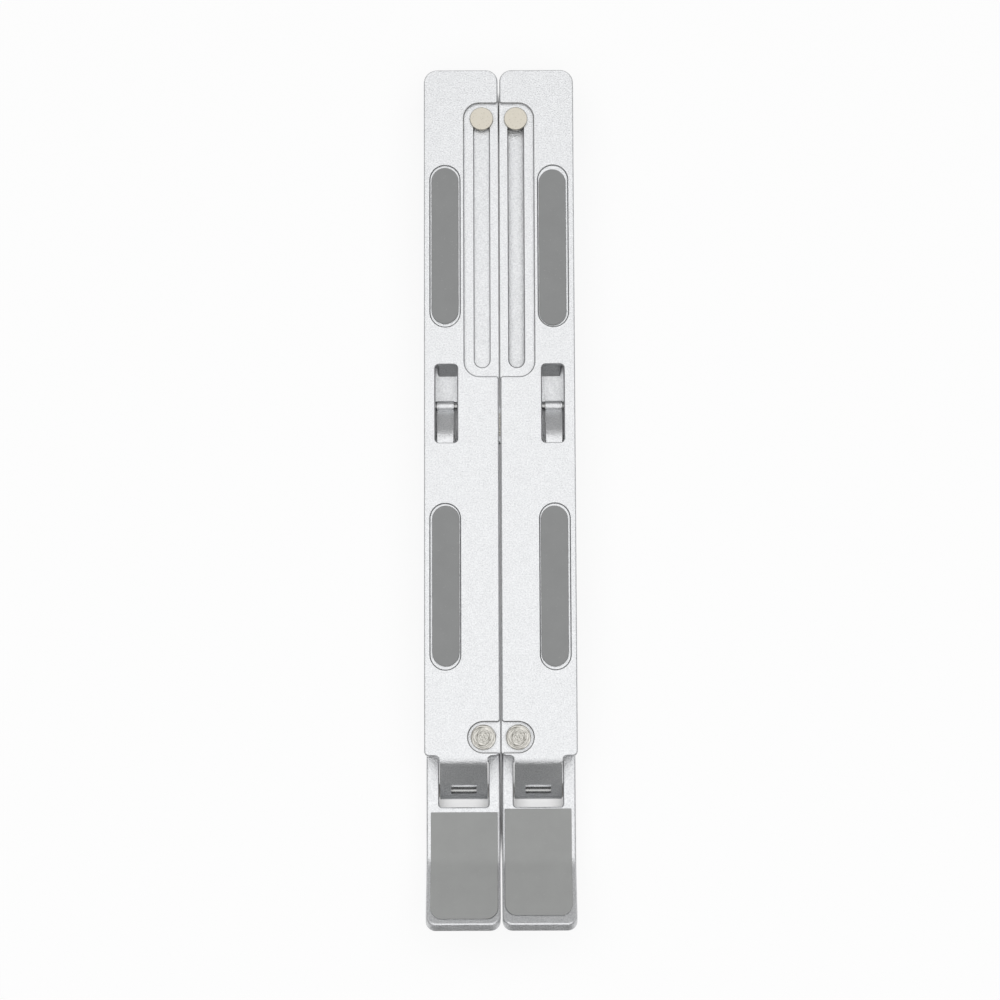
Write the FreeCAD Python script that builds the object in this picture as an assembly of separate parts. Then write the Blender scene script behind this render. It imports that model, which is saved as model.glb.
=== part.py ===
"""Folding laptop stand: two hinged aluminium legs joined by a pair of crossing arms.

Folded pose.  Millimetres, +Z up, +X across the stand, +Y from the front lips to the rear.
The origin is the middle of the stand's outline, on the surface that it stands on.
Each half is drawn on the +X side; the left half is its mirror image.
"""
import FreeCAD, Part
import math
import os
from FreeCAD import Vector

# ---- outline ----------------------------------------------------------------------------
LENGTH = 257.3              # folded, rear edge to lip tips
HALF_WIDTH = 22.5           # centre plane to a beam's outer edge
HALF_GAP = 0.27             # centre plane to a beam's inner edge
REAR_Y = LENGTH / 2
FRONT_Y = -LENGTH / 2

# ---- clearances -------------------------------------------------------------------------
RUN_FIT = 0.05              # radial, a pin that turns in its bore
LAYER_GAP = 0.1             # between arm, plate and spacer faces that slide on each other
ARM_GAP = 0.3               # between the two arms, held by the washer at their crossing
SIDE_GAP = 0.25             # beside the tongue in the leg's window
MOVE_GAP = 0.4              # between pieces that only pass each other

# ---- stations along the stand --------------------------------------------------------------
HINGE_FROM_TIP = 41.05      # lip tip to the front hinge axis
SHOULDER_FROM_HINGE = 9.55  # to the beam's front edge
RIVET_FROM_SHOULDER = 5.5
FRONT_PAD_FROM_RIVET = 44.45
STRUT_PIN_FROM_HINGE = 114.05
REAR_PAD_FROM_STRUT_PIN = 48.0
LIP_BEND_FROM_HINGE = 18.1
SLIDER_FROM_REAR = 15.0
SLEEVE_FROM_REAR = 5.2
LEG_REAR_INSET = 2.15       # beam's rear edge to the leg's

HINGE_Y = FRONT_Y + HINGE_FROM_TIP
SHOULDER_Y = HINGE_Y + SHOULDER_FROM_HINGE
RIVET_Y = SHOULDER_Y + RIVET_FROM_SHOULDER
FRONT_PAD_Y = RIVET_Y + FRONT_PAD_FROM_RIVET
STRUT_PIN_Y = HINGE_Y + STRUT_PIN_FROM_HINGE
REAR_PAD_Y = STRUT_PIN_Y + REAR_PAD_FROM_STRUT_PIN
LIP_BEND_Y = HINGE_Y - LIP_BEND_FROM_HINGE
SLIDER_Y = REAR_Y - SLIDER_FROM_REAR
SLEEVE_Y = REAR_Y - SLEEVE_FROM_REAR
LEG_REAR_Y = REAR_Y - LEG_REAR_INSET

# ---- heights ----------------------------------------------------------------------------
FOOT_PROUD = 0.8            # rubber foot below the leg
LEG_HEIGHT = 7.0
LEG_DECK = 1.5              # sheet thickness of the leg's deck
LEG_WALL = 1.5
STRUT_FLOAT = 0.7           # folded strut above the leg's deck
STRUT_DEPTH = 4.4
PLATE = 2.2                 # beam's top plate
ARM = 1.4                   # thickness of each crossing arm
POCKET = 1.15               # depth of the pockets round the slider and the rivet

DECK_Z = FOOT_PROUD + LEG_HEIGHT
STRUT_BOTTOM = DECK_Z + STRUT_FLOAT
STRUT_TOP = STRUT_BOTTOM + STRUT_DEPTH
PLATE_BOTTOM = STRUT_TOP + MOVE_GAP
TOP_Z = PLATE_BOTTOM + PLATE
POCKET_Z = TOP_Z - POCKET
UPPER_ARM_Z = PLATE_BOTTOM - LAYER_GAP - ARM
LOWER_ARM_Z = UPPER_ARM_Z - ARM_GAP - ARM

# ---- crossing arms, rivets and sliders -----------------------------------------------------
PIVOT_X = 5.15              # centre plane to the rivet and slot line
OPEN_ANGLE = 49.5           # degrees an arm turns from folded to fully open
ARM_RISE = SLIDER_Y - RIVET_Y
ARM_LENGTH = math.hypot(2 * PIVOT_X, ARM_RISE)
FOLDED_ANGLE = math.degrees(math.atan2(2 * PIVOT_X, ARM_RISE))
CROSS_Y = (RIVET_Y + SLIDER_Y) / 2

RIVET_HEAD_R = 3.7
RIVET_HEAD = 1.0
RIVET_SHANK_R = 1.6
CLINCH_R = 2.45             # upset end of a rivet or slider pin, under the arms
CLINCH = 0.8
CROSS_RIVET_R = 2.0
CROSS_HEAD_R = 3.4
CROSS_SINK = 0.7            # depth of the flush head in the upper arm
SLIDER_HEAD_R = 3.5
SLIDER_HEAD = 0.95
SLIDER_SHANK_R = 1.5
BUSH_R = 2.15
SLOT_WIDTH = 2 * (BUSH_R + LAYER_GAP)
SLOT_SPARE = 0.7            # slot left in front of the bush when the stand is fully open
SLOT_REAR_SPARE = 0.2
ARM_EDGE = 2.55             # pivot to the arm's outer edge
ARM_WIDTH = 7.2             # each arm keeps clear of the gap between the beams
ARM_END = 4.6               # pivot to the arm's end
ARM_JOG = 12.0              # length over which an arm steps across at the crossing
ARM_CORNER_R = 2.5
ARM_EYE_R = 4.5             # round eye where the arms cross

SLIDER_OPEN_Y = RIVET_Y + ARM_LENGTH * math.cos(math.radians(FOLDED_ANGLE + OPEN_ANGLE))
SLOT_FRONT_Y = SLIDER_OPEN_Y - BUSH_R - SLOT_SPARE
SLOT_REAR_Y = SLIDER_Y + BUSH_R + SLOT_REAR_SPARE
SLOT_POCKET_SIDE = 5.25     # slot line to the pocket's outer edge
SLOT_POCKET_FRONT = 2.9
SLOT_POCKET_REAR = 4.6
SLOT_POCKET_R = 4.5
MOUTH_R = 0.8               # where a pocket opens through the beam's inner edge
RIVET_POCKET_MARGIN = 0.75
RIVET_POCKET_R = RIVET_HEAD_R + RIVET_POCKET_MARGIN

# ---- beam -----------------------------------------------------------------------------
BEAM_WALL = 1.5
BEAM_REAR_OUTER_R = 4.0
BEAM_REAR_INNER_R = 3.6
SHOULDER_R = 1.5
RIM_BEVEL = 0.33            # broken edge round a beam's top and its openings
SLOT_BEVEL = 0.3
EDGE_R = 0.3                # softened ends of knuckles, ribs and pads
HEAD_EDGE_R = 0.2

LAND_X = PIVOT_X + SLOT_POCKET_SIDE     # inner side of the land beside the slot pocket
PAD_LAND_OUTER = 1.95       # land left outside a pad's recess
PAD_LAND_INNER = 1.4
PAD_RECESS_WIDTH = HALF_WIDTH - PAD_LAND_OUTER - PAD_LAND_INNER - LAND_X
PAD_RECESS_LENGTH = 49.15
PAD_RECESS = 0.5
PAD_MARGIN = 0.35           # gap left beside a pad
PAD_END_MARGIN = 0.75        # gap left at its ends
PAD_PROUD = 0.25
PAD_SHIFT = {               # each pad is glued where it was laid, (inward, rearward)
    "left_rear": (0.0, 0.1),
    "right_rear": (0.15, -0.45),
    "left_front": (0.15, 0.2),
    "right_front": (0.15, 0.1),
}
FRONT_PAD_OFFSET = 0.05     # front pad further out than the rear one
REAR_PAD_X = HALF_WIDTH - PAD_LAND_OUTER - PAD_RECESS_WIDTH / 2
FRONT_PAD_X = REAR_PAD_X + FRONT_PAD_OFFSET

# ---- front hinge ------------------------------------------------------------------------
HINGE_Z = 4.2
HINGE_PIN_R = 1.0
HINGE_PIN_INSET = 0.2       # pin end inside the leg's inner face
TONGUE_INNER_X = 3.95
TONGUE_SIDE = 4.5           # beam's outer edge to the tongue
TONGUE_OUTER_X = HALF_WIDTH - TONGUE_SIDE
TONGUE = 1.8                # sheet thickness of the tongue
TONGUE_BEND_R = 3.8
TONGUE_FLAT = 0.25          # level stretch of the tongue in front of the shoulders
TONGUE_BEND_Y = SHOULDER_Y - TONGUE_FLAT
KNUCKLE_R = 2.6
HINGE_REACH = TONGUE_BEND_Y - HINGE_Y
HINGE_DROP = TOP_Z - HINGE_Z - TONGUE_BEND_R
TONGUE_SLOPE = math.degrees(                    # the tongue runs tangent into its knuckle
    math.asin((TONGUE_BEND_R - KNUCKLE_R) / math.hypot(HINGE_REACH, HINGE_DROP))
    + math.atan2(HINGE_DROP, HINGE_REACH))
TONGUE_SLOT_LENGTH = 7.5
TONGUE_SLOT_WIDTH = 2.6
TONGUE_SLOT_BACK = 0.3      # slot's middle behind the hinge axis

# ---- strut ----------------------------------------------------------------------------
STRUT_PIN_RISE = 2.4        # above the strut's underside
STRUT_PIN_Z = STRUT_BOTTOM + STRUT_PIN_RISE
STRUT_PIN_R = 0.9
STRUT_PIN_PROUD = 0.2       # pin ends outside the cheeks
STRUT_SHEET = 1.0
WINDOW_LAND_OUTER = 3.38    # land left outside the window
WINDOW_LAND_INNER = 2.22
WINDOW_WIDTH = HALF_WIDTH - WINDOW_LAND_OUTER - WINDOW_LAND_INNER - LAND_X
WINDOW_X = HALF_WIDTH - WINDOW_LAND_OUTER - WINDOW_WIDTH / 2
WINDOW_FRONT = 11.5         # strut pin to the window's front edge
WINDOW_REAR = 11.85
WINDOW_R = 1.1
TAB_OFFSET = 0.3            # the tab sits off the window's centre line
TAB_X = WINDOW_X + TAB_OFFSET
TAB_SIDE_GAP = 0.6          # tab's side to the window's, before the offset
TAB_WIDTH = WINDOW_WIDTH - 2 * TAB_SIDE_GAP
TAB_TAPER = 0.33            # each side of the tab draws in by this towards its root
TAB_SINK = 0.2              # tab's root below the beam's top
TAB = 1.1
TAB_SLOPE = 28.0
TAB_BEND_R = 6.3
TAB_FLAT = 0.8              # level stretch of the tab at the window's edge
TAB_KNUCKLE_R = 1.6
CHEEK_NOSE = 1.8            # cheek below the strut pin at its front end
CHEEK_BEVEL = 1.0
CHEEK_TAPER = 7.0           # cheeks narrow over this length to the sleeve pin
WEB_START = 1.6             # strut pin to the strut's web
WEB_END = 4.0               # web to the sleeve pin
RIB_START = 9.3             # strut pin to the foot of the pressed rib
RIB_END = 20.9              # foot of the rib to the sleeve axis
RIB_HEIGHT = 3.0
RIB_SIDE = 0.7              # window's outer edge to the rib
RIB_OUTER_X = WINDOW_X + WINDOW_WIDTH / 2 - RIB_SIDE
RIB_EDGE_R = 0.5
SLEEVE_R = 1.8
SLEEVE_PIN_R = 1.0
SLEEVE_RISE = 2.8           # sleeve axis above the leg's deck, folded
SLEEVE_Z = DECK_Z + SLEEVE_RISE
CHEEK_TAIL_R = 1.5
STRUT_INNER_X = WINDOW_X - WINDOW_WIDTH / 2 - STRUT_SHEET
STRUT_OUTER_X = WINDOW_X + WINDOW_WIDTH / 2 + STRUT_SHEET

# ---- leg ------------------------------------------------------------------------------
LEG_SIDE_INSET = 0.5        # beam's outer edge to the leg's
LEG_OUTER_X = HALF_WIDTH - LEG_SIDE_INSET
LEG_REAR_R = 3.0
LEG_EDGE_R = 0.6            # softened rim round the top of a leg
LEG_WINDOW_FRONT = 5.05     # hinge axis to the window's front edge
LEG_WINDOW_R = 0.9
HOLLOW_FRONT = 6.8          # hinge axis to the front of the leg's hollow
FRONT_BLOCK_Y = HINGE_Y - HOLLOW_FRONT
REAR_BLOCK = 14.5           # solid rear end of the leg
LIP_BEND_R = 8.0
LIP_SLOPE = 33.0
LIP_END = 2.35              # length of the lip's bevelled end face
LIP_END_SLOPE = 36.0        # its fall to the front
LIP_CORNER_R = 3.0          # square to the end face
LIP_PAD_INNER_X = 0.8
LIP_PAD_SIDE = 1.8          # beam's outer edge to the lip pad
LIP_PAD_OUTER_X = HALF_WIDTH - LIP_PAD_SIDE
LIP_PAD_FROM_HINGE = 6.55   # hinge axis to the pad's rear edge
LIP_PAD_LENGTH = 31.05
LIP_PAD_CORNER_R = 3.3
LIP_PAD_BED = 0.4
LIP_PAD_PROUD = 0.3
LIP_PAD_SHIFT = {"left": 0.0, "right": 1.0}     # each pad is glued where it was laid
NOTCH_COUNT = 6
NOTCH_PITCH = 10.9
NOTCH_FROM_SLEEVE = 12.4    # folded sleeve axis to the rearmost notch
NOTCH_LENGTH = 4.6
NOTCH_SIDE = 0.3
NOTCH_R = 1.0
FOOT_X = (HALF_GAP + LEG_OUTER_X) / 2
FOOT_LENGTH = 15.0
FOOT_WIDTH = 8.0
FOOT_BED = 0.6
FOOT_R = 3.9
FOOT_FROM_HOLLOW = 0.6      # leg's hollow to the front foot
FRONT_FOOT_Y = FRONT_BLOCK_Y - FOOT_WIDTH / 2 - FOOT_FROM_HOLLOW
REAR_FOOT_Y = LEG_REAR_Y - REAR_BLOCK / 2


# ---- drawing helpers --------------------------------------------------------------------
def box(x0, x1, y0, y1, z0, z1):
    return Part.makeBox(x1 - x0, y1 - y0, z1 - z0, Vector(x0, y0, z0))


def post(x, y, radius, z0, z1):
    """Round bar along Z."""
    return Part.makeCylinder(radius, z1 - z0, Vector(x, y, z0))


def rod(y, z, radius, x0, x1):
    """Round bar along X."""
    return Part.makeCylinder(radius, x1 - x0, Vector(x0, y, z), Vector(1, 0, 0))


def outline(corners):
    """Closed wire through (point, radius) corners; each corner is rounded to its radius."""
    starts, ends, edges = [], [], []
    count = len(corners)
    for i, (point, radius) in enumerate(corners):
        back = corners[i - 1][0] - point
        ahead = corners[(i + 1) % count][0] - point
        trim = 0.0
        if radius:
            turn = math.pi - back.getAngle(ahead)
            trim = radius * math.tan(turn / 2)
        starts.append(point + back.normalize() * trim)
        ends.append(point + ahead.normalize() * trim)
    for i, (point, radius) in enumerate(corners):
        if radius:
            chord = (starts[i] + ends[i]) / 2
            reach = (chord - point).Length
            half = (ends[i] - starts[i]).Length / 2
            centre = point + (chord - point) * ((reach ** 2 + half ** 2) / reach ** 2)
            middle = centre + (point - centre).normalize() * radius
            edges.append(Part.Arc(starts[i], middle, ends[i]).toShape())
        edges.append(Part.LineSegment(ends[i], starts[(i + 1) % count]).toShape())
    return Part.Wire(edges)


def plan_prism(corners, z0, z1):
    """Solid with a rounded (x, y, radius) outline seen from above."""
    wire = outline([(Vector(x, y, z0), radius) for x, y, radius in corners])
    return Part.Face(wire).extrude(Vector(0, 0, z1 - z0))


def side_prism(corners, x0, x1):
    """Solid with a rounded (y, z, radius) outline seen from the side."""
    wire = outline([(Vector(x0, y, z), radius) for y, z, radius in corners])
    return Part.Face(wire).extrude(Vector(x1 - x0, 0, 0))


def rectangle(x0, x1, y0, y1, radius):
    return [(x0, y0, radius), (x1, y0, radius), (x1, y1, radius), (x0, y1, radius)]


def oval(x, y, width, length, z0, z1):
    """Upright solid with semicircular ends, long along Y."""
    half = length / 2 - width / 2
    body = box(x - width / 2, x + width / 2, y - half, y + half, z0, z1)
    ends = [post(x, y - half, width / 2, z0, z1), post(x, y + half, width / 2, z0, z1)]
    return body.fuse(ends).removeSplitter()


def soften(shape, radius, wanted):
    """Round the edges for which wanted(edge) holds."""
    edges = [edge for edge in shape.Edges if wanted(edge)]
    return shape.makeFillet(radius, edges)


def bevel(shape, size, wanted):
    """Break the edges for which wanted(edge) holds at 45 degrees."""
    edges = [edge for edge in shape.Edges if wanted(edge)]
    return shape.makeChamfer(size, edges)


def level(edge, z):
    """True where an edge lies in the level plane at height z."""
    return abs(edge.BoundBox.ZMin - z) < 1e-4 and abs(edge.BoundBox.ZMax - z) < 1e-4


# ---- beam -----------------------------------------------------------------------------
def beam_outline():
    return [
        (HALF_GAP, REAR_Y, BEAM_REAR_INNER_R),
        (HALF_WIDTH, REAR_Y, BEAM_REAR_OUTER_R),
        (HALF_WIDTH, SHOULDER_Y, SHOULDER_R),
        (TONGUE_OUTER_X, SHOULDER_Y, SHOULDER_R),
        (TONGUE_OUTER_X, TONGUE_BEND_Y, 0),
        (TONGUE_INNER_X, TONGUE_BEND_Y, 0),
        (TONGUE_INNER_X, SHOULDER_Y, SHOULDER_R),
        (HALF_GAP, SHOULDER_Y, SHOULDER_R),
    ]


def beam_shell():
    """Top plate with a wall down its outer side and rear end, open inward for the arms."""
    block = plan_prism(beam_outline(), DECK_Z + MOVE_GAP, TOP_Z)
    inner = [
        (-HALF_WIDTH, REAR_Y - BEAM_WALL, 0),
        (HALF_WIDTH - BEAM_WALL, REAR_Y - BEAM_WALL, BEAM_REAR_OUTER_R - BEAM_WALL),
        (HALF_WIDTH - BEAM_WALL, FRONT_Y, 0),
        (-HALF_WIDTH, FRONT_Y, 0),
    ]
    return block.cut(plan_prism(inner, 0, PLATE_BOTTOM))


def sloped_sheet(start_y, top_z, direction, bend_r, slope, sheet, end_z):
    """Side outline of a sheet that starts out level, bends down and runs on at a slope.

    direction is -1 towards the front and +1 towards the rear.
    """
    angle = math.radians(slope)
    normal = Vector(0, direction * math.sin(angle), math.cos(angle))
    centre = Vector(0, start_y, top_z - bend_r)
    half = Vector(0, direction * math.sin(angle / 2), math.cos(angle / 2))
    outer_end = centre + normal * bend_r
    run = (outer_end.z - end_z) / math.tan(angle)
    tip = Vector(0, outer_end.y + direction * run, end_z)
    up = Vector(0, 0, 1)
    inner_r = bend_r - sheet
    edges = [
        Part.Arc(centre + up * bend_r, centre + half * bend_r, outer_end).toShape(),
        Part.LineSegment(outer_end, tip).toShape(),
        Part.LineSegment(tip, tip - normal * sheet).toShape(),
        Part.LineSegment(tip - normal * sheet, centre + normal * inner_r).toShape(),
        Part.Arc(centre + normal * inner_r, centre + half * inner_r, centre + up * inner_r).toShape(),
        Part.LineSegment(centre + up * inner_r, centre + up * bend_r).toShape(),
    ]
    return Part.Wire(edges)


def sheet_prism(wire, x0, x1):
    solid = Part.Face(wire).extrude(Vector(x1 - x0, 0, 0))
    solid.translate(Vector(x0, 0, 0))
    return solid


def tongue():
    """Sheet that drops from the beam's front edge and curls round the front hinge pin."""
    end_z = HINGE_Z + KNUCKLE_R * math.cos(math.radians(TONGUE_SLOPE))
    wire = sloped_sheet(TONGUE_BEND_Y, TOP_Z, -1, TONGUE_BEND_R, TONGUE_SLOPE, TONGUE, end_z)
    drop = sheet_prism(wire, TONGUE_INNER_X, TONGUE_OUTER_X)
    knuckle = rod(HINGE_Y, HINGE_Z, KNUCKLE_R, TONGUE_INNER_X, TONGUE_OUTER_X)
    knuckle = soften(knuckle, EDGE_R, lambda edge: True)
    return drop.fuse(knuckle)


def tongue_cuts():
    """Bore for the hinge pin and the slot above it."""
    bore = rod(HINGE_Y, HINGE_Z, HINGE_PIN_R + RUN_FIT, 0, HALF_WIDTH)
    middle = (TONGUE_INNER_X + TONGUE_OUTER_X) / 2
    half = TONGUE_SLOT_LENGTH / 2
    front = HINGE_Y + TONGUE_SLOT_BACK - TONGUE_SLOT_WIDTH / 2
    slot = box(middle - half, middle + half, front, front + TONGUE_SLOT_WIDTH, HINGE_Z, TOP_Z)
    return [bore, slot]


def window_tab():
    """Tab bent down from the window's front edge and curled round the strut pin."""
    start = STRUT_PIN_Y - WINDOW_FRONT + TAB_FLAT
    root_y = start - 2 * TAB_FLAT
    top_z = TOP_Z - TAB_SINK
    wire = sloped_sheet(start, top_z, 1, TAB_BEND_R, TAB_SLOPE, TAB, STRUT_PIN_Z)
    x0 = TAB_X - TAB_WIDTH / 2
    x1 = TAB_X + TAB_WIDTH / 2
    drop = sheet_prism(wire, x0, x1)
    root = box(x0, x1, root_y, start, top_z - TAB, top_z)
    plan = plan_prism([
        (x0 + TAB_TAPER, root_y, 0), (x1 - TAB_TAPER, root_y, 0),
        (x1, STRUT_PIN_Y, 0), (x0, STRUT_PIN_Y, 0),
    ], 0, TOP_Z)
    sheet = root.fuse(drop).common(plan)
    knuckle = rod(STRUT_PIN_Y, STRUT_PIN_Z, TAB_KNUCKLE_R, x0, x1)
    knuckle = soften(knuckle, HEAD_EDGE_R, lambda edge: True)
    return sheet.fuse(knuckle)


def slot_pocket():
    """Shallow pocket round the slot, open to the beam's inner edge."""
    outer = PIVOT_X + SLOT_POCKET_SIDE
    front = SLOT_FRONT_Y - SLOT_POCKET_FRONT
    rear = SLIDER_Y + SLOT_POCKET_REAR
    corners = mouth(front, rear) + [(outer, rear, SLOT_POCKET_R), (outer, front, SLOT_POCKET_R)]
    return plan_prism(corners, POCKET_Z, TOP_Z + 1)


def mouth(front, rear):
    """Corners of a pocket's open side, rounded where it meets the beam's inner edge."""
    return [
        (HALF_GAP, front, MOUTH_R),
        (HALF_GAP, front - 2 * MOUTH_R, 0),
        (-HALF_GAP, front - 2 * MOUTH_R, 0),
        (-HALF_GAP, rear + 2 * MOUTH_R, 0),
        (HALF_GAP, rear + 2 * MOUTH_R, 0),
        (HALF_GAP, rear, MOUTH_R),
    ]


def rivet_pocket():
    front = RIVET_Y - RIVET_POCKET_R
    rear = RIVET_Y + RIVET_POCKET_R
    inner_half = mouth(front, rear) + [(PIVOT_X, rear, 0), (PIVOT_X, front, 0)]
    round_end = post(PIVOT_X, RIVET_Y, RIVET_POCKET_R, POCKET_Z, TOP_Z + 1)
    return round_end.fuse(plan_prism(inner_half, POCKET_Z, TOP_Z + 1)).removeSplitter()


def is_rim(edge):
    """True for the top edges of a beam: its outline, pockets, recesses and window."""
    bounds = edge.BoundBox
    return level(edge, TOP_Z) and bounds.YMax > TONGUE_BEND_Y + RUN_FIT


def is_slot_edge(edge):
    """True for edges on the slot's own outline."""
    bounds = edge.BoundBox
    inside_x = abs(bounds.Center.x - PIVOT_X) < SLOT_WIDTH / 2 + RUN_FIT
    return inside_x and bounds.YMin > SLOT_FRONT_Y - RUN_FIT and bounds.YMax < SLOT_REAR_Y + RUN_FIT


def beam():
    slot_length = SLOT_REAR_Y - SLOT_FRONT_Y
    slot_middle = (SLOT_REAR_Y + SLOT_FRONT_Y) / 2
    window_x0 = WINDOW_X - WINDOW_WIDTH / 2
    window = rectangle(window_x0, window_x0 + WINDOW_WIDTH, STRUT_PIN_Y - WINDOW_FRONT,
                       STRUT_PIN_Y + WINDOW_REAR, WINDOW_R)
    recess_z = TOP_Z - PAD_RECESS
    cuts = [
        slot_pocket(),
        rivet_pocket(),
        oval(PIVOT_X, slot_middle, SLOT_WIDTH, slot_length, 0, TOP_Z),
        post(PIVOT_X, RIVET_Y, RIVET_SHANK_R, 0, TOP_Z),
        plan_prism(window, 0, TOP_Z + 1),
        oval(REAR_PAD_X, REAR_PAD_Y, PAD_RECESS_WIDTH, PAD_RECESS_LENGTH, recess_z, TOP_Z + 1),
        oval(FRONT_PAD_X, FRONT_PAD_Y, PAD_RECESS_WIDTH, PAD_RECESS_LENGTH, recess_z, TOP_Z + 1),
    ]
    shell = beam_shell().cut(cuts)
    shell = bevel(shell, RIM_BEVEL, is_rim)
    shell = bevel(shell, SLOT_BEVEL, lambda edge: level(edge, POCKET_Z) and is_slot_edge(edge))
    whole = shell.fuse([tongue(), window_tab()])
    tab_bore = rod(STRUT_PIN_Y, STRUT_PIN_Z, STRUT_PIN_R + RUN_FIT, 0, HALF_WIDTH - BEAM_WALL)
    whole = whole.cut(tongue_cuts() + [tab_bore])
    return whole.removeSplitter()


def pad(x, y, shift):
    """Oval rubber pad lying in a beam's recess, off its middle by (inward, rearward)."""
    inward, rearward = shift
    width = PAD_RECESS_WIDTH - 2 * PAD_MARGIN
    length = PAD_RECESS_LENGTH - 2 * PAD_END_MARGIN
    return oval(x - inward, y + rearward, width, length, TOP_Z - PAD_RECESS, TOP_Z + PAD_PROUD)


# ---- arms and their pivots ----------------------------------------------------------------
def arm(z0):
    """Arm from this side's front rivet across to the other side's slider.

    Its edges run straight fore and aft when folded and step across at the crossing.
    """
    outer = PIVOT_X + ARM_EDGE
    inner = outer - ARM_WIDTH
    front = RIVET_Y - ARM_END
    rear = SLIDER_Y + ARM_END
    step0 = CROSS_Y - ARM_JOG / 2
    step1 = CROSS_Y + ARM_JOG / 2
    r = ARM_CORNER_R
    corners = [
        (inner, front, r), (outer, front, r), (outer, step0, r), (-inner, step1, r),
        (-inner, rear, r), (-outer, rear, r), (-outer, step1, r), (inner, step0, r),
    ]
    eye = post(0, CROSS_Y, ARM_EYE_R, z0, z0 + ARM)
    return plan_prism(corners, z0, z0 + ARM).fuse(eye).removeSplitter()


def lower_arm():
    """Arm that turns on the left front rivet and carries the right slider."""
    plate = arm(LOWER_ARM_Z).mirror(Vector(0, 0, 0), Vector(1, 0, 0))
    z0 = LOWER_ARM_Z
    z1 = LOWER_ARM_Z + ARM
    cuts = [
        post(-PIVOT_X, RIVET_Y, RIVET_SHANK_R + RUN_FIT, z0, z1),
        post(PIVOT_X, SLIDER_Y, SLIDER_SHANK_R, z0, z1),
        post(0, CROSS_Y, CROSS_RIVET_R, z0, z1),
    ]
    return plate.cut(cuts)


def upper_arm():
    """Arm that turns on the right front rivet and carries the left slider."""
    z0 = UPPER_ARM_Z
    z1 = UPPER_ARM_Z + ARM
    cuts = [
        post(PIVOT_X, RIVET_Y, RIVET_SHANK_R + RUN_FIT, z0, z1),
        post(-PIVOT_X, SLIDER_Y, SLIDER_SHANK_R, z0, z1),
        post(0, CROSS_Y, CROSS_RIVET_R + RUN_FIT, z0, z1),
        post(0, CROSS_Y, CROSS_HEAD_R + LAYER_GAP, z1 - CROSS_SINK, z1),
    ]
    return arm(UPPER_ARM_Z).cut(cuts)


def cross_rivet():
    """Rivet at the crossing: fast in the lower arm, flush in the upper one."""
    head_z = UPPER_ARM_Z + ARM - CROSS_SINK + RUN_FIT
    shank = post(0, CROSS_Y, CROSS_RIVET_R, LOWER_ARM_Z - CLINCH, UPPER_ARM_Z + ARM)
    clinch = post(0, CROSS_Y, CROSS_HEAD_R, LOWER_ARM_Z - CLINCH, LOWER_ARM_Z)
    head = post(0, CROSS_Y, CROSS_HEAD_R, head_z, UPPER_ARM_Z + ARM)
    return shank.fuse([clinch, head]).removeSplitter()


def cross_washer():
    """Thin ring that keeps the two arms apart at the crossing."""
    ring = post(0, CROSS_Y, CROSS_HEAD_R, LOWER_ARM_Z + ARM, UPPER_ARM_Z - RUN_FIT)
    return ring.cut(post(0, CROSS_Y, CROSS_RIVET_R, 0, TOP_Z))


def front_rivet(arm_z):
    """Rivet fixed in the beam; an arm at height arm_z turns on its shank."""
    head = post(PIVOT_X, RIVET_Y, RIVET_HEAD_R, POCKET_Z, POCKET_Z + RIVET_HEAD)
    head = soften(head, HEAD_EDGE_R, lambda edge: level(edge, POCKET_Z + RIVET_HEAD))
    bottom = arm_z - RUN_FIT
    shank = post(PIVOT_X, RIVET_Y, RIVET_SHANK_R, bottom - CLINCH, POCKET_Z)
    clinch = post(PIVOT_X, RIVET_Y, CLINCH_R, bottom - CLINCH, bottom)
    return head.fuse([shank, clinch]).removeSplitter()


def spacer(y, z0, z1):
    ring = post(PIVOT_X, y, CLINCH_R, z0, z1)
    return ring.cut(post(PIVOT_X, y, RIVET_SHANK_R, z0, z1))


def slider_pin(arm_z):
    """T-headed pin riveted in the arm at height arm_z; its head rides in the slot pocket."""
    head_z = POCKET_Z + RUN_FIT
    head = post(PIVOT_X, SLIDER_Y, SLIDER_HEAD_R, head_z, head_z + SLIDER_HEAD)
    head = soften(head, HEAD_EDGE_R, lambda edge: level(edge, head_z + SLIDER_HEAD))
    shank = post(PIVOT_X, SLIDER_Y, SLIDER_SHANK_R, arm_z - CLINCH, head_z)
    clinch = post(PIVOT_X, SLIDER_Y, CLINCH_R, arm_z - CLINCH, arm_z)
    return head.fuse([shank, clinch]).removeSplitter()


def slider_bush(arm_z):
    """Nylon bush on the slider pin, from the arm up through the slot."""
    ring = post(PIVOT_X, SLIDER_Y, BUSH_R, arm_z + ARM, POCKET_Z + RUN_FIT)
    return ring.cut(post(PIVOT_X, SLIDER_Y, SLIDER_SHANK_R, 0, TOP_Z))


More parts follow.
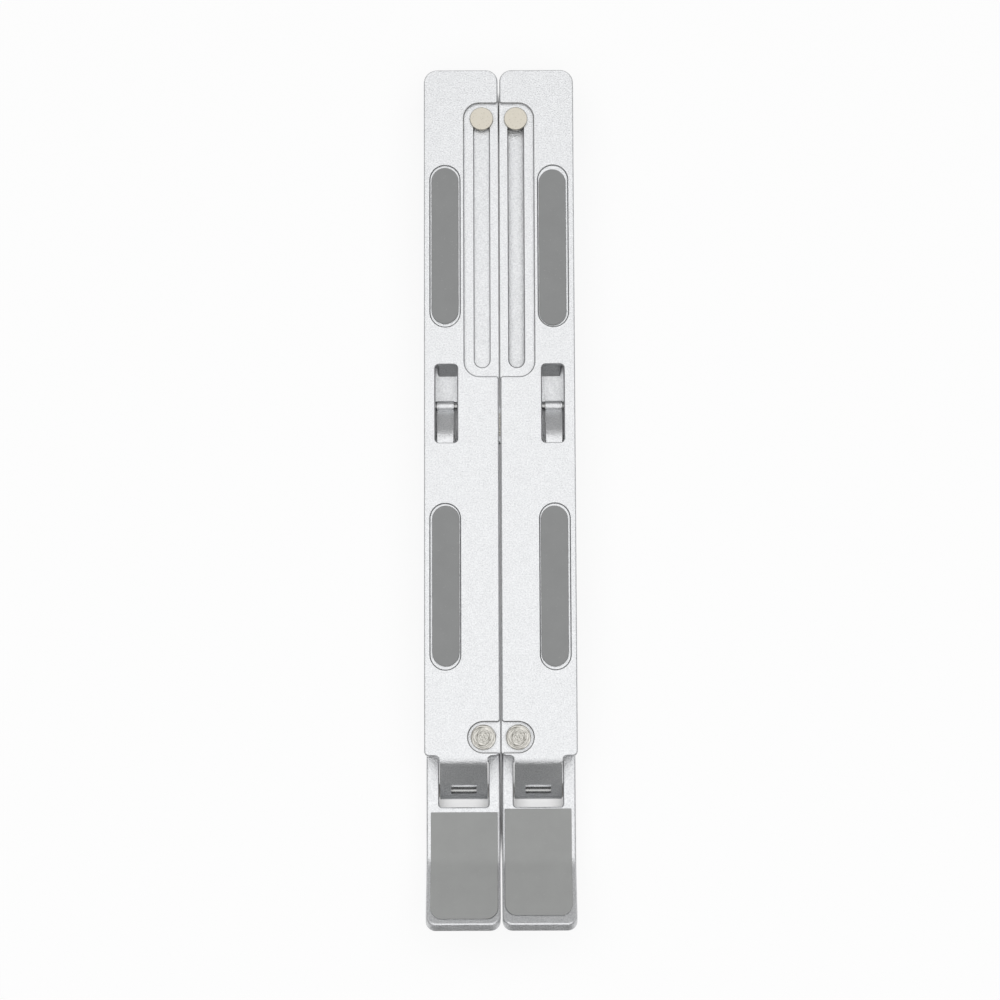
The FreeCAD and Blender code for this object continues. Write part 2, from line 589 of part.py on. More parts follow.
# ---- strut ----------------------------------------------------------------------------
def strut():
    """Folded-sheet channel: two cheeks on the strut pin, a web and a pressed rib."""
    web_y = STRUT_PIN_Y + WEB_START
    taper_y = SLEEVE_Y - CHEEK_TAPER
    bend_r = 2 * STRUT_SHEET
    side = side_prism([
        (STRUT_PIN_Y, STRUT_TOP, 0),
        (STRUT_PIN_Y, STRUT_PIN_Z - CHEEK_NOSE, 0),
        (STRUT_PIN_Y + CHEEK_BEVEL, STRUT_BOTTOM, 0),
        (taper_y, STRUT_BOTTOM, bend_r),
        (SLEEVE_Y, SLEEVE_Z - CHEEK_TAIL_R, 0),
        (SLEEVE_Y, SLEEVE_Z + CHEEK_TAIL_R, 0),
        (taper_y, STRUT_TOP, bend_r),
    ], STRUT_INNER_X, STRUT_OUTER_X)
    ends = [
        rod(STRUT_PIN_Y, STRUT_PIN_Z, STRUT_TOP - STRUT_PIN_Z, STRUT_INNER_X, STRUT_OUTER_X),
        rod(SLEEVE_Y, SLEEVE_Z, CHEEK_TAIL_R, STRUT_INNER_X, STRUT_OUTER_X),
    ]
    body = side.fuse(ends).removeSplitter()
    hollow_x0 = STRUT_INNER_X + STRUT_SHEET
    hollow_x1 = STRUT_OUTER_X - STRUT_SHEET
    cuts = [
        box(hollow_x0, hollow_x1, HINGE_Y, REAR_Y, STRUT_BOTTOM + STRUT_SHEET, TOP_Z),
        box(hollow_x0, hollow_x1, HINGE_Y, web_y, 0, TOP_Z),
        box(hollow_x0, hollow_x1, SLEEVE_Y - WEB_END, REAR_Y, 0, TOP_Z),
        rod(STRUT_PIN_Y, STRUT_PIN_Z, STRUT_PIN_R, 0, HALF_WIDTH),
        rod(SLEEVE_Y, SLEEVE_Z, SLEEVE_PIN_R, 0, HALF_WIDTH),
    ]
    return body.cut(cuts).fuse(strut_rib()).cut(strut_rib_hollow()).removeSplitter()


def rib_outline(drop, inset):
    floor = STRUT_BOTTOM + STRUT_SHEET - drop
    start = STRUT_PIN_Y + RIB_START + inset
    end = SLEEVE_Y - RIB_END - inset
    return [
        (start, floor, 0),
        (start + RIB_HEIGHT, floor + RIB_HEIGHT, EDGE_R),
        (end - RIB_HEIGHT, floor + RIB_HEIGHT, EDGE_R),
        (end, floor, 0),
    ]


def strut_rib():
    rib = side_prism(rib_outline(0, 0), STRUT_INNER_X + STRUT_SHEET, RIB_OUTER_X)
    return soften(rib, RIB_EDGE_R, lambda edge: edge.BoundBox.XMin > RIB_OUTER_X - RUN_FIT)


def strut_rib_hollow():
    """Hollow under the rib, one sheet thickness inside it."""
    inset = STRUT_SHEET * math.tan(math.radians(22.5))
    x0 = STRUT_INNER_X + 2 * STRUT_SHEET
    return side_prism(rib_outline(STRUT_SHEET, inset), x0, RIB_OUTER_X - STRUT_SHEET)


def cheek_pin(y, z, radius):
    """Pin through both cheeks of the strut, a little proud of each."""
    return rod(y, z, radius, STRUT_INNER_X - STRUT_PIN_PROUD, STRUT_OUTER_X + STRUT_PIN_PROUD)


def strut_sleeve():
    """Rubber sleeve on the strut's free end; it drops into the leg's notches."""
    tube = rod(SLEEVE_Y, SLEEVE_Z, SLEEVE_R, STRUT_INNER_X + STRUT_SHEET + LAYER_GAP,
               STRUT_OUTER_X - STRUT_SHEET - LAYER_GAP)
    return tube.cut(rod(SLEEVE_Y, SLEEVE_Z, SLEEVE_PIN_R, 0, HALF_WIDTH))


# ---- leg ------------------------------------------------------------------------------
def lip_end():
    """Run and drop of the lip's end face, as the x and y of a vector."""
    angle = math.radians(LIP_END_SLOPE)
    return Vector(math.cos(angle), math.sin(angle), 0) * LIP_END


def lip_surface(offset):
    """Edges of the deck and lip seen from the side, offset upward, from rear to tip."""
    angle = math.radians(LIP_SLOPE)
    normal = Vector(0, math.sin(angle), math.cos(angle))
    centre = Vector(0, LIP_BEND_Y, DECK_Z + LIP_BEND_R)
    radius = LIP_BEND_R - offset
    start = centre - Vector(0, 0, radius)
    middle = centre - Vector(0, math.sin(angle / 2), math.cos(angle / 2)) * radius
    end = centre - normal * radius
    tip_y = FRONT_Y + lip_end().x + offset * math.sin(angle)
    tip_z = end.z + (end.y - tip_y) * math.tan(angle)
    return start, middle, end, Vector(0, tip_y, tip_z)


def lip_solid(offset0, offset1, rear_y, x0, x1):
    """Layer that follows deck and lip, between two offsets from their surface."""
    low = lip_surface(offset0)
    high = lip_surface(offset1)
    low_rear = Vector(0, rear_y, DECK_Z + offset0)
    high_rear = Vector(0, rear_y, DECK_Z + offset1)
    edges = [
        Part.LineSegment(high_rear, high[0]).toShape(),
        Part.Arc(high[0], high[1], high[2]).toShape(),
        Part.LineSegment(high[2], high[3]).toShape(),
        Part.LineSegment(high[3], low[3]).toShape(),
        Part.LineSegment(low[3], low[2]).toShape(),
        Part.Arc(low[2], low[1], low[0]).toShape(),
        Part.LineSegment(low[0], low_rear).toShape(),
        Part.LineSegment(low_rear, high_rear).toShape(),
    ]
    return sheet_prism(Part.Wire(edges), x0, x1)


def leg_block():
    """Outer form of a leg: level body with the lip rising from its front end."""
    angle = math.radians(LIP_SLOPE)
    start, middle, end, tip = lip_surface(0)
    heel = tip - Vector(0, lip_end().x, lip_end().y)
    toe_y = heel.y + (heel.z - FOOT_PROUD) / math.tan(angle)
    rear_top = Vector(0, LEG_REAR_Y, DECK_Z)
    rear_bottom = Vector(0, LEG_REAR_Y, FOOT_PROUD)
    toe = Vector(0, toe_y, FOOT_PROUD)
    edges = [
        Part.LineSegment(rear_top, start).toShape(),
        Part.Arc(start, middle, end).toShape(),
        Part.LineSegment(end, tip).toShape(),
        Part.LineSegment(tip, heel).toShape(),
        Part.LineSegment(heel, toe).toShape(),
        Part.LineSegment(toe, rear_bottom).toShape(),
        Part.LineSegment(rear_bottom, rear_top).toShape(),
    ]
    solid = sheet_prism(Part.Wire(edges), HALF_GAP, LEG_OUTER_X)
    in_front = tip.y + RUN_FIT
    behind = LEG_REAR_Y - RUN_FIT
    solid = soften(solid, LIP_CORNER_R,
                   lambda edge: is_corner(edge) and edge.BoundBox.YMax < in_front)
    return soften(solid, LEG_REAR_R,
                  lambda edge: is_corner(edge) and edge.BoundBox.YMin > behind)


def is_corner(edge):
    """True for an edge that lies in one plane across the stand."""
    return edge.BoundBox.XLength < RUN_FIT


def notches():
    """Row of slots in the deck that catch the strut's sleeve, one for each height."""
    x0 = STRUT_INNER_X - NOTCH_SIDE
    x1 = STRUT_OUTER_X + NOTCH_SIDE
    half = NOTCH_LENGTH / 2
    cuts = []
    for step in range(NOTCH_COUNT):
        y = SLEEVE_Y - NOTCH_FROM_SLEEVE - step * NOTCH_PITCH
        cuts.append(plan_prism(rectangle(x0, x1, y - half, y + half, NOTCH_R), FOOT_PROUD, TOP_Z))
    return cuts


def foot(y, z0, z1):
    """Flat rubber foot, long across the leg."""
    return plan_prism(rectangle(FOOT_X - FOOT_LENGTH / 2, FOOT_X + FOOT_LENGTH / 2,
                                y - FOOT_WIDTH / 2, y + FOOT_WIDTH / 2, FOOT_R), z0, z1)


def lip_pad_plan(shift, z0, z1):
    rear = HINGE_Y - LIP_PAD_FROM_HINGE + shift
    front = rear - LIP_PAD_LENGTH
    return plan_prism([
        (LIP_PAD_INNER_X, rear, EDGE_R), (LIP_PAD_OUTER_X, rear, EDGE_R),
        (LIP_PAD_OUTER_X, front, LIP_PAD_CORNER_R), (LIP_PAD_INNER_X, front, LIP_PAD_CORNER_R),
    ], z0, z1)


def lip_pad(shift):
    """Rubber pad bedded in the deck and lip."""
    layer = lip_solid(-LIP_PAD_BED, LIP_PAD_PROUD, HINGE_Y, 0, HALF_WIDTH)
    return layer.common(lip_pad_plan(shift, 0, TOP_Z * 2))


def leg_rim(block):
    """Edges round the deck and lip: each bounds one of their faces and a side or an end."""
    upward = []
    for face in block.Faces:
        u0, u1, v0, v1 = face.ParameterRange
        normal = face.normalAt((u0 + u1) / 2, (v0 + v1) / 2)
        if normal.z > 0.5 and normal.y > -RUN_FIT:
            upward += face.Edges
    return [edge for edge in upward if sum(edge.isSame(other) for other in upward) == 1]


def is_window_edge(edge):
    """True for the top edges of the window round the tongue."""
    bounds = edge.BoundBox
    front = HINGE_Y - LEG_WINDOW_FRONT - RUN_FIT
    rear = SHOULDER_Y - LEG_WINDOW_R + RUN_FIT
    in_window = bounds.YMin > front and bounds.YMax < rear
    return level(edge, DECK_Z) and in_window and bounds.XMax < TONGUE_OUTER_X + 2 * SIDE_GAP


def leg(shift):
    block = leg_block()
    block = block.makeFillet(LEG_EDGE_R, leg_rim(block))
    hollow_x0 = HALF_GAP + LEG_WALL
    hollow_x1 = LEG_OUTER_X - LEG_WALL
    window = rectangle(TONGUE_INNER_X - SIDE_GAP, TONGUE_OUTER_X + SIDE_GAP,
                       HINGE_Y - LEG_WINDOW_FRONT, SHOULDER_Y - LEG_WINDOW_R, LEG_WINDOW_R)
    bed = lip_solid(-LIP_PAD_BED, LIP_PAD_PROUD, HINGE_Y, 0, HALF_WIDTH)
    cuts = [
        box(hollow_x0, hollow_x1, FRONT_BLOCK_Y, LEG_REAR_Y - REAR_BLOCK, 0, DECK_Z - LEG_DECK),
        plan_prism(window, 0, DECK_Z + 1),
        rod(HINGE_Y, HINGE_Z, HINGE_PIN_R, 0, HALF_WIDTH),
        foot(FRONT_FOOT_Y, 0, FOOT_PROUD + FOOT_BED),
        foot(REAR_FOOT_Y, 0, FOOT_PROUD + FOOT_BED),
        bed.common(lip_pad_plan(shift, 0, TOP_Z * 2)),
    ]
    shell = block.cut(cuts + notches()).removeSplitter()
    return bevel(shell, RIM_BEVEL, is_window_edge)


def hinge_pin():
    return rod(HINGE_Y, HINGE_Z, HINGE_PIN_R, HALF_GAP + HINGE_PIN_INSET, LEG_OUTER_X)


def hinge_spacers():
    """Two nylon sleeves on the hinge pin, one each side of the tongue's knuckle."""
    radius = DECK_Z - LEG_DECK - HINGE_Z - LAYER_GAP
    inner = rod(HINGE_Y, HINGE_Z, radius, HALF_GAP + LEG_WALL, TONGUE_INNER_X - LAYER_GAP)
    outer = rod(HINGE_Y, HINGE_Z, radius, TONGUE_OUTER_X + LAYER_GAP, LEG_OUTER_X - LEG_WALL)
    bore = rod(HINGE_Y, HINGE_Z, HINGE_PIN_R, 0, HALF_WIDTH)
    return Part.makeCompound([inner.cut(bore), outer.cut(bore)])


# ---- the whole stand ----------------------------------------------------------------------
def mirrored(shape):
    return shape.mirror(Vector(0, 0, 0), Vector(1, 0, 0))


def half_pieces(side):
    """Pieces of one half, drawn on the +X side."""
    turned_arm_z = {"left": LOWER_ARM_Z, "right": UPPER_ARM_Z}[side]
    carried_arm_z = {"left": UPPER_ARM_Z, "right": LOWER_ARM_Z}[side]
    shift = LIP_PAD_SHIFT[side]
    pieces = {
        "beam": beam(),
        "rear_pad": pad(REAR_PAD_X, REAR_PAD_Y, PAD_SHIFT[side + "_rear"]),
        "front_pad": pad(FRONT_PAD_X, FRONT_PAD_Y, PAD_SHIFT[side + "_front"]),
        "front_rivet": front_rivet(turned_arm_z),
        "slider_pin": slider_pin(carried_arm_z),
        "slider_bush": slider_bush(carried_arm_z),
        "leg": leg(shift),
        "lip_pad": lip_pad(shift),
        "hinge_pin": hinge_pin(),
        "hinge_spacers": hinge_spacers(),
        "front_foot": foot(FRONT_FOOT_Y, 0, FOOT_PROUD + FOOT_BED),
        "rear_foot": foot(REAR_FOOT_Y, 0, FOOT_PROUD + FOOT_BED),
        "strut": strut(),
        "strut_pin": cheek_pin(STRUT_PIN_Y, STRUT_PIN_Z, STRUT_PIN_R),
        "strut_sleeve": strut_sleeve(),
        "sleeve_pin": cheek_pin(SLEEVE_Y, SLEEVE_Z, SLEEVE_PIN_R),
    }
    return pieces


def main():
    nodes = {
        "lower_arm": lower_arm(),
        "upper_arm": upper_arm(),
        "cross_rivet": cross_rivet(),
        "cross_washer": cross_washer(),
    }
    for name, shape in half_pieces("right").items():
        nodes["right_" + name] = shape
    for name, shape in half_pieces("left").items():
        nodes["left_" + name] = mirrored(shape)
    spacer_z0 = LOWER_ARM_Z + ARM + RUN_FIT
    nodes["left_rivet_spacer"] = mirrored(spacer(RIVET_Y, spacer_z0, PLATE_BOTTOM))
    os.makedirs("parts", exist_ok=True)
    for name, shape in nodes.items():
        shape.exportStep("parts/" + name + ".step")


main()
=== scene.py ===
"""Finishes, rubber parts, light and camera for a folding aluminium laptop stand.

Laid out as a Blender add-on and run as a script.  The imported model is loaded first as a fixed
frame: its metal parts keep their shape and get their finish here, and each plain rubber solid
gives way to a moulded piece in the same place.  Everything is in metres in the model's frame:
+Z up, +Y from the front lips to the rear.
"""
import math

import bmesh
import bpy
from bpy.props import FloatProperty, PointerProperty, StringProperty
from mathutils import Matrix, Vector


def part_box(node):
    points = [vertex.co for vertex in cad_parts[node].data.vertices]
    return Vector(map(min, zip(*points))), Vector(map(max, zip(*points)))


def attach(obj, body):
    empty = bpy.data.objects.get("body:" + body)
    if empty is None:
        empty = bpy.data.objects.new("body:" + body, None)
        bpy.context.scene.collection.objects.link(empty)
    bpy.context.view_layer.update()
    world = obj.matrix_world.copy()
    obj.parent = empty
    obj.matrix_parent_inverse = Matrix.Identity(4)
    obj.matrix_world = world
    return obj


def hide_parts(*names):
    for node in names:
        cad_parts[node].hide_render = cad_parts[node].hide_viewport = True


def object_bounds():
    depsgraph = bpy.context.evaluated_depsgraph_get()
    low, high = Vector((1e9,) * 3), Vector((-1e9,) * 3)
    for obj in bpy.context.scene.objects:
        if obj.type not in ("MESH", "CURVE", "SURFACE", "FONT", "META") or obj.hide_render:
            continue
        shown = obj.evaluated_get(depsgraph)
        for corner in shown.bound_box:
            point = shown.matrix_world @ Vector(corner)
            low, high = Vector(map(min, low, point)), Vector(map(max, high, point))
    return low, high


bl_info = {
    "name": "Laptop Stand Finish",
    "version": (1, 0, 0),
    "blender": (4, 5, 0),
    "location": "View3D > Sidebar > Laptop Stand",
    "description": "Anodised, plated and rubber finishes for a folding laptop stand",
    "category": "Object",
}

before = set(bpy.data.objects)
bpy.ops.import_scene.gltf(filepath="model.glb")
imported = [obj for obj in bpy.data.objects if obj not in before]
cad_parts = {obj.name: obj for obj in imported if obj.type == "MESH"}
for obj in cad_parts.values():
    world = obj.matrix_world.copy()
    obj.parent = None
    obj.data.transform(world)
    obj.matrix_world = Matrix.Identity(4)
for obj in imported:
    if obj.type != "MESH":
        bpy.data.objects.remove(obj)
cad_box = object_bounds()

MM = 0.001
SIDES = ("left", "right")

# The leg's deck and lip seen from the side, in millimetres.
DECK_Z = 7.8
LIP_BEND_Y = -105.7
LIP_BEND_R = 8.0
LIP_SLOPE = math.radians(33.0)
LIP_PAD_BED = 0.4
LIP_PAD_PROUD = 0.3
LIP_PAD_FRONT_R = 3.3
LIP_PAD_REAR_R = 0.4

# How finely the rubber pieces are divided.
ARC_STEPS = 6
GROOVE_STEPS = 4
SLEEVE_STEPS = 48
SLAB_PITCH = 0.8 * MM
JOIN_DISTANCE = 1e-7
SHARP_ANGLE = math.radians(40.0)

# A lip pad's rim is rounded less than a rest pad's.
LIP_EDGE_SHARE = 0.8

# A foot's ends are nearly half round, and its grooves fade in past a plain rim.
FOOT_END_SHARE = 0.975
FOOT_RIM = 1.2 * MM
FOOT_FADE = 0.5 * MM

SLEEVE_GROOVE = 0.2 * MM

# Second tones of the finishes, beside their main colours in the settings.
NICKEL_SHADE = "#BAB5A9"
NICKEL_PRICK = "#85807A"
PIN_SHADE = "#AEAEAD"
NYLON_SHADE = "#D9D5C9"
SILICONE_DUST = "#C4C4C2"

# The stage.
SENSOR_WIDTH = 36.0
CLIP_START = 0.01
SOFTBOX_SIZE = 2.4
SOFTBOX_Y = -0.2
SOFTBOX_CLEARANCE = 1.3
FLOOR_RADIUS = 6.0
FLOOR_SEGMENTS = 96


# ---- settings ---------------------------------------------------------------------------
class StandMetalSettings(bpy.types.PropertyGroup):
    """Colours and grain of the metal parts."""

    anodised: StringProperty(
        name="Anodised aluminium", description="Silver of the blasted, clear-anodised surface",
        default="#DFE0E1")
    # Painted shade: the darker tone at the bottom of the blasted texture.
    anodised_pit_shade: StringProperty(
        name="Anodised pits", description="Tone at the bottom of the blasted texture",
        default="#C0C1C3")
    # Painted shade: a darker copy of the anodised silver for the arms and struts, which lie down
    # under the slots and the gap.
    sheet_shaded: StringProperty(
        name="Anodised sheet", description="Silver of the pressed arms and struts",
        default="#DCDDDE")
    # Painted shade: the darker tone at the bottom of the sheet's blasted texture.
    sheet_pit_shade: StringProperty(
        name="Anodised sheet pits", description="Tone at the bottom of the sheet's texture",
        default="#BCBDBF")
    grain: FloatProperty(
        name="Blast grain", description="Size of one grain of the blasted texture",
        default=0.42 * MM, unit="LENGTH")
    relief: FloatProperty(
        name="Blast relief", description="Height of the blasted texture",
        default=0.13 * MM, unit="LENGTH", precision=6)
    rivet: StringProperty(
        name="Rivet steel", description="Bright crests of the formed rivet heads",
        default="#D2D0CA")
    # Painted shade in the grooves of the formed rings.
    rivet_groove_shade: StringProperty(
        name="Rivet grooves", description="Grooves left by the forming tool",
        default="#5C5952")
    ring_pitch: FloatProperty(
        name="Forming rings", description="Spacing of the rings on a rivet head",
        default=0.27 * MM, unit="LENGTH")
    slider: StringProperty(
        name="Slider nickel", description="Warm satin nickel on the slider heads",
        default="#C1BCB1")
    pin: StringProperty(
        name="Pin steel", description="Ground steel of the hinge and strut pins",
        default="#B6B6B5")


class StandRubberSettings(bpy.types.PropertyGroup):
    """Colours and edges of the silicone, rubber and nylon parts."""

    rest_pad: StringProperty(
        name="Rest pad silicone", description="Grey of the four pads under the laptop",
        default="#8F9090")
    lip_pad: StringProperty(
        name="Lip pad silicone", description="Lighter grey of the pads on the lips",
        default="#9D9E9D")
    foot: StringProperty(
        name="Foot rubber", description="Grey of the feet and strut sleeves",
        default="#848483")
    nylon: StringProperty(
        name="Nylon", description="Natural nylon of bushes, spacers and washer",
        default="#E4E1D8")
    edge: FloatProperty(
        name="Pad edge", description="Radius moulded round the top of a pad",
        default=0.25 * MM, unit="LENGTH")
    crown: FloatProperty(
        name="Pad crown", description="How much a pad's middle stands above its rim",
        default=0.06 * MM, unit="LENGTH", precision=6)
    lip_clearance: FloatProperty(
        name="Lip pad clearance", description="Bed left bare along a lip pad's inner edge",
        default=0.28 * MM, unit="LENGTH", precision=6)
    foot_rib: FloatProperty(
        name="Foot rib depth", description="Depth of the grip grooves under a foot",
        default=0.25 * MM, unit="LENGTH", precision=6)
    foot_rib_pitch: FloatProperty(
        name="Foot rib pitch", description="Spacing of the grip grooves under a foot",
        default=1.6 * MM, unit="LENGTH")


class StandStageSettings(bpy.types.PropertyGroup):
    """Camera, lamp, room and floor."""

    distance: FloatProperty(
        name="Camera distance", description="From the lens to the beams' top face",
        default=0.888, unit="LENGTH")
    elevation: FloatProperty(
        name="Camera elevation", description="Above the horizon, seen from the front",
        default=math.radians(82.14), subtype="ANGLE")
    heading: FloatProperty(
        name="Camera heading", description="Turn of the camera about the vertical",
        default=math.radians(-0.22), subtype="ANGLE")
    lens: FloatProperty(
        name="Lens", description="Focal length on a 36 mm sensor", default=108.0)
    aim_y: FloatProperty(
        name="Aim", description="Where along the stand the camera looks",
        default=-2.45 * MM, unit="LENGTH")
    softbox: FloatProperty(
        name="Softbox power", description="Power of the large overhead lamp", default=21.2)
    walls_rear: FloatProperty(
        name="Walls behind", description="Brightness of the room behind the stand", default=0.515)
    walls_front: FloatProperty(
        name="Walls in front", description="Brightness of the room in front", default=0.14)
    floor: StringProperty(
        name="Floor", description="Matt white tabletop", default="#FBFBFB")
    floor_lift: FloatProperty(
        name="Floor lift", description="How far the seen tabletop is lifted to white", default=0.85)
    contact: FloatProperty(
        name="Contact shadow", description="Reach of the shadow kept inside a gap or a window",
        default=6.8 * MM, unit="LENGTH")


# ---- colour and shader nodes --------------------------------------------------------------
def linear(hex_colour):
    """sRGB hex text turned to the linear RGBA that a shader takes."""
    channels = [int(hex_colour[i:i + 2], 16) / 255 for i in (1, 3, 5)]
    turned = [c / 12.92 if c <= 0.04045 else ((c + 0.055) / 1.055) ** 2.4 for c in channels]
    return (*turned, 1.0)


def add_node(tree, kind, settings=None, links=None):
    """Adds a node, sets its properties and inputs, and links outputs to its inputs."""
    node = tree.nodes.new(kind)
    for key, value in (settings or {}).items():
        if isinstance(key, str) and hasattr(node, key):
            setattr(node, key, value)
        else:
            node.inputs[key].default_value = value
    for key, output in (links or {}).items():
        tree.links.new(output, node.inputs[key])
    return node


def new_material(name):
    """An empty node material with its output node."""
    material = bpy.data.materials.new(name)
    material.use_nodes = True
    tree = material.node_tree
    tree.nodes.clear()
    return material, tree


def finish_surface(tree, settings, links, relief, distance):
    """Principled surface with the relief that a height texture gives it."""
    bump = add_node(tree, "ShaderNodeBump", {"Strength": 1.0, "Distance": distance},
                    {"Height": relief})
    shader = add_node(tree, "ShaderNodeBsdfPrincipled", settings,
                      {**links, "Normal": bump.outputs["Normal"]})
    add_node(tree, "ShaderNodeOutputMaterial", None, {"Surface": shader.outputs["BSDF"]})


def speckle(tree, coordinates, size, detail=2.0, roughness=0.5):
    """Noise whose blotches are about one size across, in metres."""
    noise = add_node(tree, "ShaderNodeTexNoise",
                     {"Scale": 1 / size, "Detail": detail, "Roughness": roughness},
                     {"Vector": coordinates})
    return noise.outputs["Fac"]


def spread(tree, value, low, high, to_low, to_high):
    """Maps a range of a texture to a range of a setting."""
    node = add_node(tree, "ShaderNodeMapRange",
                    {"From Min": low, "From Max": high, "To Min": to_low, "To Max": to_high},
                    {"Value": value})
    return node.outputs["Result"]


def blend_colours(tree, factor, low, high):
    """Mixes two hex colours by a factor."""
    node = add_node(tree, "ShaderNodeMix",
                    {"data_type": "RGBA", 6: linear(low), 7: linear(high)}, {0: factor})
    return node.outputs[2]


# ---- materials --------------------------------------------------------------------------
def blasted_anodised_aluminium(metal, variant, crest, pit_shade):
    """Aluminium, fine bead-blasted and clear-anodised; the arms and struts get a darker copy as
    painted shade.
    """
    # Blasting leaves a soft pearly grain that sparkles a little and hides the tool marks; the
    # clear oxide keeps it pale and satin.  Real grit is about 0.15 mm, drawn nearly three times
    # as coarse so that it shows.
    material, tree = new_material("blasted_anodised_aluminium_" + variant)
    place = add_node(tree, "ShaderNodeTexCoord").outputs["Object"]
    grain = speckle(tree, place, size=metal.grain, detail=3.0, roughness=0.6)
    cloud = speckle(tree, place, size=6 * metal.grain, detail=2.0)
    # The tone follows the grain of the relief and is darker in its pits, which is painted shade
    # there, under a faint random cloud.
    tone = add_node(tree, "ShaderNodeMath", {"operation": "MULTIPLY_ADD", 1: 0.1},
                    {0: cloud, 2: spread(tree, grain, 0.3, 0.7, 0.0, 0.9)}).outputs["Value"]
    colour = blend_colours(tree, tone, pit_shade, crest)
    sheen = spread(tree, cloud, 0.3, 0.7, 0.34, 0.40)
    finish_surface(tree, {"Metallic": 1.0}, {"Base Color": colour, "Roughness": sheen},
                   relief=grain, distance=metal.relief)
    return material


def formed_rivet_steel(metal, name, centre):
    """Plated steel rivet head closed by an orbiting tool."""
    # The tool rolls the head over in tight broken rings, so bright and dull arcs follow each
    # other round the centre; the dull arcs are painted shade in the grooves.  The rings are about
    # 0.2 mm apart, drawn a third wider.
    material, tree = new_material("formed_rivet_steel_" + name)
    place = add_node(tree, "ShaderNodeTexCoord").outputs["Object"]
    offset = add_node(tree, "ShaderNodeVectorMath", {"operation": "SUBTRACT", 1: centre},
                      {0: place}).outputs["Vector"]
    flat = add_node(tree, "ShaderNodeVectorMath", {"operation": "MULTIPLY", 1: (1, 1, 0)},
                    {0: offset}).outputs["Vector"]
    radius = add_node(tree, "ShaderNodeVectorMath", {"operation": "LENGTH"},
                      {0: flat}).outputs["Value"]
    heading = add_node(tree, "ShaderNodeVectorMath", {"operation": "NORMALIZE"},
                       {0: flat}).outputs["Vector"]
    turn = add_node(tree, "ShaderNodeSeparateXYZ", None, {"Vector": heading})
    rings = add_node(tree, "ShaderNodeMath", {"operation": "MULTIPLY", 1: 1 / metal.ring_pitch},
                     {0: radius}).outputs["Value"]
    around = add_node(tree, "ShaderNodeCombineXYZ", None,
                      {"X": turn.outputs["X"], "Y": turn.outputs["Y"], "Z": rings})
    arcs = add_node(tree, "ShaderNodeTexNoise", {"Scale": 1.3, "Detail": 3.0, "Roughness": 0.65},
                    {"Vector": around.outputs["Vector"]}).outputs["Fac"]
    # The grooves are drawn darker than the crests, which is painted shade in them.
    tone = spread(tree, arcs, 0.35, 0.62, 0.0, 1.0)
    colour = blend_colours(tree, tone, metal.rivet_groove_shade, metal.rivet)
    polish = spread(tree, arcs, 0.35, 0.65, 0.48, 0.3)
    finish_surface(tree, {"Metallic": 1.0}, {"Base Color": colour, "Roughness": polish},
                   relief=arcs, distance=0.03 * MM)
    return material


def satin_nickel_steel(metal):
    """Turned steel slider head, nickel-plated and satin."""
    # Nickel is warmer than the aluminium round it.  The plating is even, with a faint cloud and
    # a few dull pin-pricks.
    material, tree = new_material("satin_nickel_steel")
    place = add_node(tree, "ShaderNodeTexCoord").outputs["Object"]
    cloud = speckle(tree, place, size=0.9 * MM, detail=3.0)
    pricks = speckle(tree, place, size=0.35 * MM, detail=0.0)
    pitted = spread(tree, pricks, 0.70, 0.78, 0.0, 0.6)
    clean = blend_colours(tree, spread(tree, cloud, 0.35, 0.65, 0.0, 1.0),
                          NICKEL_SHADE, metal.slider)
    colour = add_node(tree, "ShaderNodeMix", {"data_type": "RGBA", 7: linear(NICKEL_PRICK)},
                      {0: pitted, 6: clean}).outputs[2]
    finish_surface(tree, {"Metallic": 1.0},
                   {"Base Color": colour, "Roughness": spread(tree, cloud, 0.3, 0.7, 0.33, 0.42)},
                   relief=cloud, distance=0.004 * MM)
    return material


def ground_pin_steel(metal):
    """Hardened steel pin, centreless-ground."""
    # Grinding leaves fine hoops round the pin that catch the light as short streaks.
    material, tree = new_material("ground_pin_steel")
    place = add_node(tree, "ShaderNodeTexCoord").outputs["Object"]
    hoops = add_node(tree, "ShaderNodeMapping", {"Scale": (1.0, 0.12, 0.12)}, {"Vector": place})
    marks = speckle(tree, hoops.outputs["Vector"], size=0.09 * MM, detail=2.0)
    colour = blend_colours(tree, spread(tree, marks, 0.35, 0.65, 0.0, 1.0), PIN_SHADE, metal.pin)
    finish_surface(tree, {"Metallic": 1.0},
                   {"Base Color": colour, "Roughness": spread(tree, marks, 0.3, 0.7, 0.22, 0.36)},
                   relief=marks, distance=0.001 * MM)
    return material


def moulded_silicone(name, hex_colour):
    """Silicone rubber moulded in a finely spark-eroded tool."""
    # The tool's texture makes the rubber matt and even, with no clear highlight, and a little
    # dust settles on it as paler points.
    material, tree = new_material(name)
    place = add_node(tree, "ShaderNodeTexCoord").outputs["Object"]
    skin = speckle(tree, place, size=0.3 * MM, detail=2.0)
    cloud = speckle(tree, place, size=5.0 * MM, detail=2.0)
    dust = speckle(tree, place, size=0.5 * MM, detail=0.0)
    base = linear(hex_colour)
    shade = spread(tree, cloud, 0.3, 0.7, 0.975, 1.02)
    toned = add_node(tree, "ShaderNodeVectorMath", {"operation": "SCALE", 0: base[:3]},
                     {"Scale": shade}).outputs["Vector"]
    colour = add_node(tree, "ShaderNodeMix",
                      {"data_type": "RGBA", 7: linear(SILICONE_DUST)},
                      {0: spread(tree, dust, 0.76, 0.86, 0.0, 0.15), 6: toned}).outputs[2]
    finish_surface(tree, {"IOR": 1.41, "Specular IOR Level": 0.35},
                   {"Base Color": colour, "Roughness": spread(tree, skin, 0.3, 0.7, 0.62, 0.74)},
                   relief=skin, distance=0.008 * MM)
    return material


